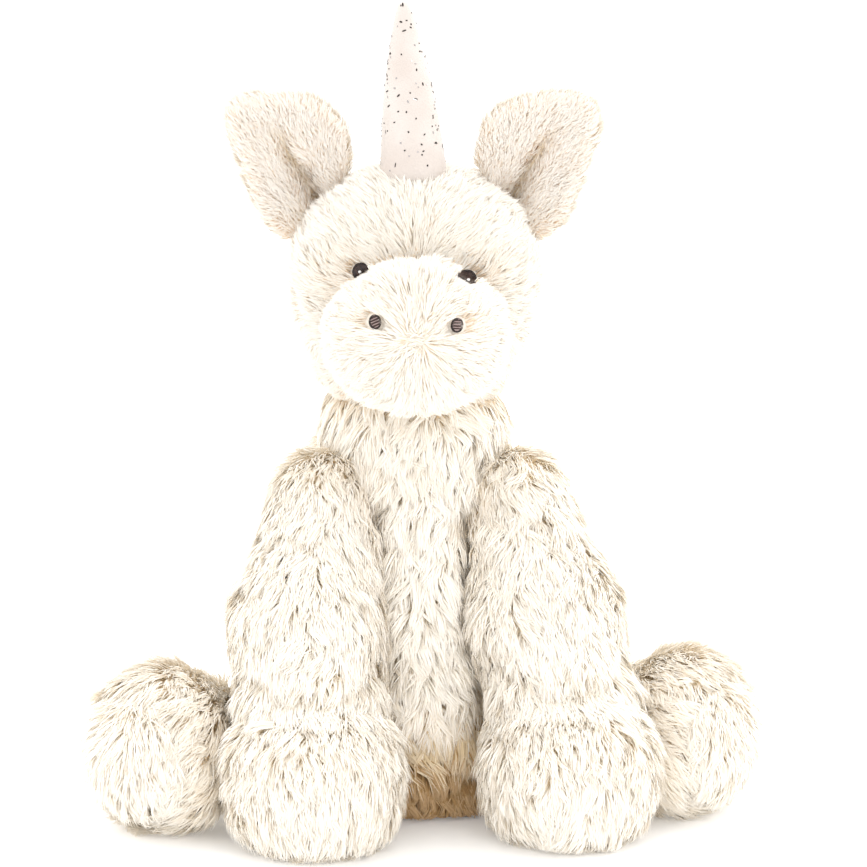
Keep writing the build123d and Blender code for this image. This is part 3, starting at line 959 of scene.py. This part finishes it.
def nostril(side, word):
    """An oval outline of two turns, filled with level stitches, some of them paler: a painted glint on the
    satin.
    """
    middle = NOSTRILS[side]
    rng = np.random.default_rng(950 + side)
    turned = turning(2, math.radians(-NOSTRIL_TILT * side))[:2, :2]
    lines, slots = [], []
    for inset, rise in ((0.2, 0.35), (0.55, 0.5)):
        turn = np.linspace(0, 2 * math.pi, 26)
        oval = np.stack([np.cos(turn) * (NOSTRIL_WIDE / 2 - inset),
                         np.sin(turn) * (NOSTRIL_TALL / 2 - inset)], 1)
        lines.append(on_face(middle + oval @ turned.T) + SIGHT_BACK * rise)
        slots.append(0)
    for k, b in enumerate(np.arange(-NOSTRIL_TALL / 2 + 0.6, NOSTRIL_TALL / 2 - 0.4, 0.34)):
        half = (NOSTRIL_WIDE / 2 - 0.35) * math.sqrt(max(1 - (2 * b / NOSTRIL_TALL) ** 2, 0.05))
        t = np.linspace(-1, 1, 6)
        line = np.stack([t * half, b + 0.35 * t + rng.uniform(-0.05, 0.05) + 0 * t], 1)
        lines.append(on_face(middle + line @ turned.T) + SIGHT_BACK * (0.35 * (1 - t ** 2) + 0.1)[:, None])
        # Every third row in pale thread, a painted glint.
        slots.append(3 if k % 3 == 1 else 1)
    piece = threads(word + "_nostril_stitches", [head_place(line) for line in lines], 0.2,
                    [DARK_THREAD, BROWN_THREAD, WHITE_THREAD, PALE_THREAD], slots)
    put(piece, "head", [word + "_nostril"])


def head_painted_shade(p):
    """Painted shade in peach beside the eyes and nostrils, in the crease between muzzle and skull, and under
    the chin.
    """
    tone = np.full(len(p), 0.05)
    for side in (1, -1):
        eye_at = np.array([side * 27.0, -44.0, CROWN - 40])
        tone += 0.9 * bump(p, eye_at, 6.5) + 0.5 * bump(p, np.array([side * 21.0, -76.0, CROWN - 50]), 6)
    tone += 0.4 * np.exp(-((head_ball(p) - muzzle_ball(p)) / 3) ** 2)
    return tone + 0.5 * near(neck_form, 4)(p)


def head():
    low, high = np.array([-50.0, -90.0, CROWN - 105]), np.array([50.0, 46.0, CROWN + 4])
    muzzle = lambda p: muzzle_ball(p) < head_ball(p)
    front = lambda p: p[:, 1] < 4
    left = lambda p: p[:, 0] >= 0
    panels = [
        ("left_muzzle_pile", "left_muzzle", lambda p: muzzle(p) & left(p)),
        ("right_muzzle_pile", "right_muzzle", muzzle),
        ("left_face_pile", "left_face", lambda p: front(p) & left(p)),
        ("right_face_pile", "right_face", front),
        ("left_crown_pile", "left_head_back", left),
        ("right_crown_pile", "right_head_back", everywhere),
    ]
    furred("head", head_form, low, high, panels, "head", head_comb, PLUSH, HEAD_GRID, -HEAD_SKIN,
           HEAD_SHADES, HEAD_BACKING, share=hidden_by(neck_form, -2.0), place=head_place, salt=51,
           tone=head_painted_shade, clear=stitched, stuffing="head_filling")
    low, high = np.array([-13, 2, MANE_LOW[2] - 4]), np.array([13, MANE_HIGH[1] + 6, CROWN + 12])
    furred("mane", mane_form, low, high, [("mane_pile", "mane", everywhere)], "head", mane_comb, MANE,
           HEAD_GRID, share=hidden_by(head_form, -4.0, 0.0), place=head_place, salt=71)


def foot_shifted(p, side):
    """The front foot stands a little to one side of straight below the leg."""
    low = np.clip((78 - p[:, 2]) / 38, 0, 1)
    return p + np.stack([FOOT_SHIFT[side] * low ** 2 * (3 - 2 * low), 0 * low, 0 * low], 1)


def legs(side, word):
    to_side = same_place if side > 0 else mirror
    fore_place = lambda p: foot_shifted(to_side(p), side)
    low, high = corners("left_foreleg_sleeve")
    low = np.array([low[0], FOOT_LOW[1], 0]) - 4
    panels = [
        (word + "_foreleg_pile", word + "_foreleg_sleeve", lambda p: p[:, 2] > ANKLE_SEAM_Z),
        (word + "_forefoot_pile", word + "_forefoot", lambda p: p[:, 2] > 5),
        (word + "_forefoot_sole_pile", word + "_forefoot_sole", everywhere),
    ]
    body = word + "_foreleg"
    furred(body, foreleg_form, low, high + 5, panels, body, foreleg_comb,
           share=hidden_by(pear_form, 0.0), place=fore_place, salt=101 + (side < 0) * 40,
           style_of={word + "_forefoot_pile": FEET, word + "_forefoot_sole_pile": FEET},
           # Painted shade: warmer strands where the foreleg meets the body.
           tone=lambda p: 0.1 + 0.6 * near(pear_form, 3)(p), stuffing=body + "_filling")
    sleeve, sole = corners("left_hindleg_sleeve"), corners("left_hindfoot_sole")
    low, high = np.minimum(sleeve[0], sole[0]), np.maximum(sleeve[1], sole[1])
    body = word + "_hindleg"
    panels = [
        (word + "_hindleg_pile", word + "_hindleg_sleeve", lambda p: (p - HINDFOOT) @ SOLE_OUT < 8),
        (word + "_hindfoot_pile", word + "_hindfoot_sole", everywhere),
    ]
    furred(body, hindleg_form, low - 5, high + 5, panels, body, hindleg_comb,
           share=hidden_by(pear_form, 0.0), place=to_side, salt=301 + (side < 0) * 40,
           style_of={word + "_hindfoot_pile": FEET}, stuffing=body + "_filling",
           # Painted shade: warmer, tan strands where the hind leg meets the foreleg and the body.
           tone=lambda p: 0.1 + 1.1 * near(lambda q: np.minimum(foreleg_form(q), pear_form(q)), 6)(p))


def ear_painted_shade(p):
    """Painted shade, gold, down in the crease of the lining and at the root, where the leaf meets the head.
    """
    across, up, _ = ear_local(p)
    crease = np.exp(-((across - 0.5) / 3.0) ** 2) * np.clip((EAR_CREASE_TOP - up) / 12, 0, 1)
    return (0.1 + 1.7 * crease) * (ear_facing(p) > 0) + 0.5 * np.clip((4 - up) / 10, 0, 1)


def ear(side, word):
    place = head_place if side > 0 else (lambda p: head_place(mirror(p)))
    low = EAR_ROOT + (-34, -20, -26)
    high = EAR_ROOT + (46, 16, 62)
    panels = [
        (word + "_ear_lining_pile", word + "_ear_lining", lambda p: ear_facing(p) > 0),
        (word + "_ear_back_pile", word + "_ear_outer", everywhere),
    ]
    furred(word + "_ear", ear_form, low, high, panels, word + "_ear", ear_comb, EAR_BACK, EAR_GRID,
           -EAR_PILE, HEAD_SHADES, HEAD_BACKING, place=place, salt=501 + (side < 0) * 40,
           share=hidden_by(head_form, -3.0, 0.0), style_of={word + "_ear_lining_pile": LINING},
           shades_of={word + "_ear_lining_pile": LINING_SHADES}, tone=ear_painted_shade)


def tail():
    low, high = corners("tail_cover")
    furred("tail", tail_form, low - 2, high + 2, [("tail_pile", "tail_cover", everywhere)], "tail",
           tail_comb, PLUME, TAIL_GRID, salt=601, stuffing="tail_filling")


# ---------------- pouch of pellets and care label
BAG_LOW, BAG_HIGH = corners("pellet_bag")
BAG_MIDDLE = (BAG_LOW + BAG_HIGH) / 2
BAG_HALF = (BAG_HIGH - BAG_LOW) / 2
PELLET = 1.7                # radius


def bag_form(p):
    """A round pillow: full in the middle, and sewn to a thin rim."""
    q = p - BAG_MIDDLE
    away = np.hypot(q[:, 0], q[:, 1]) / BAG_HALF[0]
    plump = BAG_HALF[2] * np.clip(1 - away ** 2.6, 0, 1) ** 0.6 + 0.6
    pucker = 0.5 * np.cos(14 * np.arctan2(q[:, 1], q[:, 0])) * np.clip(away - 0.5, 0, 1)
    return meet((np.abs(q[:, 2]) - plump) * 0.7 + pucker * 0.6, np.hypot(q[:, 0], q[:, 1]) - BAG_HALF[0], 1)


def pouch():
    fabric = cloth("pouch_cloth", (0.86, 0.85, 0.82), (0.80, 0.78, 0.74), scale=900.0, rough=0.85)
    points, faces = skin_of(bag_form, BAG_LOW - 1, BAG_HIGH + 1, 1.1, -0.2)
    put(make_mesh("pouch", points, faces, [fabric]), "torso", ["pellet_bag"])
    rng = np.random.default_rng(41)
    pitch = 2.05 * PELLET
    axes = [np.arange(a, b, s) for a, b, s in zip(BAG_LOW, BAG_HIGH, (pitch, pitch * 0.87, pitch * 0.83))]
    i, j, k = np.meshgrid(*[np.arange(len(a)) for a in axes], indexing="ij")
    spots = np.stack([axes[0][i] + pitch / 2 * ((j + k) % 2), axes[1][j], axes[2][k]], -1).reshape(-1, 3)
    spots = spots[bag_form(spots) < -PELLET - 0.6]
    spots += rng.normal(size=spots.shape) * 0.12
    bead, bead_faces = skin_of(lambda p: ellipsoid(p, np.zeros(3), np.array([PELLET, PELLET, PELLET * 0.72])),
                               np.full(3, -PELLET), np.full(3, PELLET), 0.85, 0)
    turns = rng.uniform(0, 2 * math.pi, (len(spots), 2))
    all_points, all_faces = [], []
    for number, (spot, (a, b)) in enumerate(zip(spots, turns)):
        all_points.append(bead @ turning(0, a).T @ turning(2, b).T + spot)
        all_faces.append(bead_faces + number * len(bead))
    kinds = (("clear", (0.86, 0.86, 0.84), 0.22), ("milky", (0.80, 0.78, 0.73), 0.34),
             ("grey", (0.66, 0.65, 0.62), 0.3))
    plastics = [shader("pellet_plastic_" + tint, colour, rough, specular_ior_level=0.5)[0]
                for tint, colour, rough in kinds]
    tints = np.repeat(rng.integers(0, 3, len(spots)), len(bead_faces))
    beads = make_mesh("pellet_beads", np.concatenate(all_points), np.concatenate(all_faces), plastics,
                      slots=tints)
    put(beads, "torso", ["pellets"])


def label():
    """A folded loop of woven tape, sewn in near the tail, with its two ends in the seam."""
    low, high = corners("care_label")
    across = np.linspace(low[2], high[2], 9)
    gap, far = 0.42, high[1] - 0.5
    run = np.linspace(low[1], far, 18)
    bend = np.linspace(-math.pi / 2, math.pi / 2, 7)[1:-1]
    y = np.concatenate([run, far + gap * np.cos(bend), run[::-1]])
    x = np.concatenate([np.full(18, -gap), gap * np.sin(bend), np.full(18, gap)])
    i, j = np.meshgrid(np.arange(len(y)), np.arange(len(across)), indexing="ij")
    out = (y[i] - low[1]) / (far - low[1])
    middle_x = (low[0] + high[0]) / 2
    points = np.stack([middle_x + x[i] + 0.7 * out ** 2 * np.sin((across[j] - low[2]) / 4.5),
                       y[i], across[j] - 0.6 * out ** 2], -1).reshape(-1, 3)
    faces = grid_faces(len(y), len(across), False)
    tape = cloth("label_weave", (0.93, 0.93, 0.92), (0.88, 0.88, 0.86), scale=1500.0, rough=0.6)
    piece = make_mesh("care_label_tape", points, faces, [tape])
    put(piece, "torso", ["care_label"])
    lines = [[(middle_x + a, low[1] + b, z + c) for a, b, c in ((-1.0, 3, 0), (0, 3.4, 0.5), (1.0, 3, 1.0))]
             for z in np.linspace(low[2] + 1, high[2] - 2, 6)]
    put(threads("care_label_stitches", lines, 0.2, [WHITE_THREAD], [0] * 6), "torso")


# ---------------- horn
HORN_PROFILE = [(12.3, 0), (11.6, 9), (9.9, 25), (7.4, 40), (4.6, 53), (2.2, 60.6), (0.05, 62)]
HORN_LEAN = (-4.0, -3.4)    # degrees: back, and towards the toy's right
FLECKS = 210


def horn():
    """A stuffed cone of glitter cloth. Its root is a dome in the head, and its flecks are thin chips."""
    heights, radii, _ = smooth_profile(HORN_PROFILE)
    around = 72
    angles = np.linspace(0, 2 * math.pi, around, endpoint=False)
    ring = np.stack([np.cos(angles), np.sin(angles), 0 * angles], 1)
    seam = 1 - 0.03 * np.exp(-((angles - math.pi / 2) / 0.09) ** 2)[:, None]
    base = HORN_PROFILE[0][0]
    low = [ring * base * math.cos(t) - (0, 0, base * math.sin(t)) for t in np.linspace(1.4, 0.2, 6)]
    rows = [ring * seam * r + (0, 0, h) for h, r in zip(heights, radii)]
    points = np.concatenate(low + rows)
    faces = grid_faces(len(low + rows), around, True)
    weave = cloth("horn_cloth", (0.68, 0.62, 0.575), (0.63, 0.555, 0.505), 1100.0, 0.5, (60.0, 2.0, 0.35),
                  (0.45, 0.0003), sheen_weight=0.2, specular_ior_level=0.4)
    back, right = (math.radians(a) for a in HORN_LEAN)
    root, lean = head_straight(HORN_ROOT), (turning(0, back) @ turning(1, right)).T
    stand = lambda p: head_place(p @ lean + root)
    end = len(points) - around
    caps = np.array([[0, k, k - 1, 0] for k in range(2, around)])[:, :3]
    tip = end + np.array([[0, k - 1, k] for k in range(2, around)])
    piece = make_mesh("horn_cone", stand(points), [faces, np.concatenate([caps, tip])], [weave])
    put(piece, "horn", ["horn_cover"])
    core = lambda p: turned_form(p, (heights, radii - 1.5, np.gradient(radii, heights)), (0, 0), -8, 60, 3)
    stuff("horn_filling", core, 1.2, np.array([-13, -13, -10.0]), np.array([13, 13, 60.0]), "horn",
          stand, step=HEAD_GRID)

    rng = np.random.default_rng(5)
    height = 61 - 61 * rng.random(FLECKS) ** 0.75
    turn = rng.uniform(0, 2 * math.pi, FLECKS)
    radius = np.interp(height, heights, radii)
    slope = np.interp(height, heights, np.gradient(radii, heights))
    corners_of, chip_faces, chip_slots = [], [], []
    for number in range(FLECKS):
        c, s = math.cos(turn[number]), math.sin(turn[number])
        out = unit(np.array([c, s, -slope[number]]))
        side = np.array([-s, c, 0.0])
        up = np.cross(out, side)
        a = rng.uniform(0, math.pi)
        u, v = side * math.cos(a) + up * math.sin(a), up * math.cos(a) - side * math.sin(a)
        long = rng.choice([0.34, 0.45, 0.8], p=[0.45, 0.35, 0.2]) * rng.uniform(0.8, 1.2)
        wide = rng.uniform(0.2, 0.32)
        middle = np.array([c * radius[number], s * radius[number], height[number]])
        outline = [(1, 0.2), (0.4, 1), (-0.6, 0.9), (-1, -0.1), (-0.5, -1), (0.6, -0.8)]
        for lift in (-0.1, 0.14):
            corners_of += [middle + out * lift + u * long * x + v * wide * y for x, y in outline]
        b = number * 12
        chip_faces += [[b + k, b + (k + 1) % 6, b + 6 + (k + 1) % 6, b + 6 + k] for k in range(6)]
        chip_faces += [[b + 6, b + 7, b + 8, b + 9], [b + 6, b + 9, b + 10, b + 11]]
        chip_slots += [int(rng.random() < 0.25)] * 8
    dark, _ = shader("fleck_dark", (0.035, 0.028, 0.025), 0.25, metallic=0.6)
    silver, _ = shader("fleck_silver", (0.42, 0.40, 0.40), 0.2, metallic=0.9)
    piece = make_mesh("horn_flecks", stand(np.array(corners_of)), np.array(chip_faces), [dark, silver],
                      slots=np.array(chip_slots), smooth=False)
    put(piece, "horn")


# ---------------- floor, light and camera
STAGE = 6.0                 # half the floor's width, in metres
CAMERA_AZIMUTH, CAMERA_RISE = math.radians(-7), math.radians(10.5)
CAMERA_AWAY, CAMERA_AIM, LENS = 1.3, (0.0044, -0.030, 0.145), 143.95
WORLD_LIGHT, FLOOR_GLOW = 1.34, 0.14
BOUNCES, DIFFUSE_BOUNCES = 16, 10      # pale pile needs many


def stage():
    floor_material, _ = shader("floor_white", (0.94, 0.94, 0.94), 0.9, specular_ior_level=0.0,
                               emission_strength=FLOOR_GLOW)
    floor_material.node_tree.nodes["Principled BSDF"].inputs["Emission Color"].default_value = (1, 1, 1, 1)
    half = STAGE / MM
    corner = np.array([[-half, -half, 0], [half, -half, 0], [half, half, 0], [-half, half, 0]])
    floor = make_mesh("floor", corner, np.array([[0, 1, 2, 3]]), [floor_material], smooth=False)
    world = bpy.data.worlds.new("studio")
    world.use_nodes = True
    background = world.node_tree.nodes["Background"]
    background.inputs["Color"].default_value = (1, 1, 1, 1)
    background.inputs["Strength"].default_value = WORLD_LIGHT
    bpy.context.scene.world = world
    bpy.context.scene.cycles.max_bounces = BOUNCES
    bpy.context.scene.cycles.diffuse_bounces = DIFFUSE_BOUNCES


def hang(name, data, place, sight):
    """A light or a camera at a place, looking along a direction."""
    thing = bpy.data.objects.new(name, data)
    thing.location = place
    thing.rotation_euler = sight.to_track_quat("-Z", "Y").to_euler()
    bpy.context.scene.collection.objects.link(thing)
    return thing


def light(name, place, aim, size, watts):
    lamp = bpy.data.lights.new(name, "AREA")
    lamp.shape = "DISK"
    lamp.size = size
    lamp.energy = watts
    hang(name, lamp, place, Vector(aim) - Vector(place))


def camera():
    """The camera looks a little down, from the toy's right of straight ahead."""
    level = math.cos(CAMERA_RISE)
    back = Vector((math.sin(CAMERA_AZIMUTH) * level, -math.cos(CAMERA_AZIMUTH) * level,
                   math.sin(CAMERA_RISE)))
    data = bpy.data.cameras.new("camera")
    data.sensor_width = 36.0
    data.lens = LENS
    data.clip_start, data.clip_end = 0.05, 50.0
    bpy.context.scene.camera = hang("camera", data, Vector(CAMERA_AIM) + back * CAMERA_AWAY, -back)


torso()
pouch()
label()
neck()
head()
for side, word in ((1, "left"), (-1, "right")):
    legs(side, word)
    ear(side, word)
    eye(side, word)
    nostril(side, word)
tail()
horn()
stage()
light("right_rim", (1.6, 0.5, 0.9), (0, 0, 0.12), 1.2, 7.5)
light("left_rim", (-1.6, 0.5, 0.8), (0, 0, 0.12), 1.2, 4.0)
light("top", (0.1, 0.3, 1.7), (0, 0, 0.1), 1.2, 6.0)
light("front", (0.5, -1.6, 1.0), (0, 0, 0.12), 0.6, 3.0)
camera()
bpy.context.scene.view_settings.view_transform = "Standard"
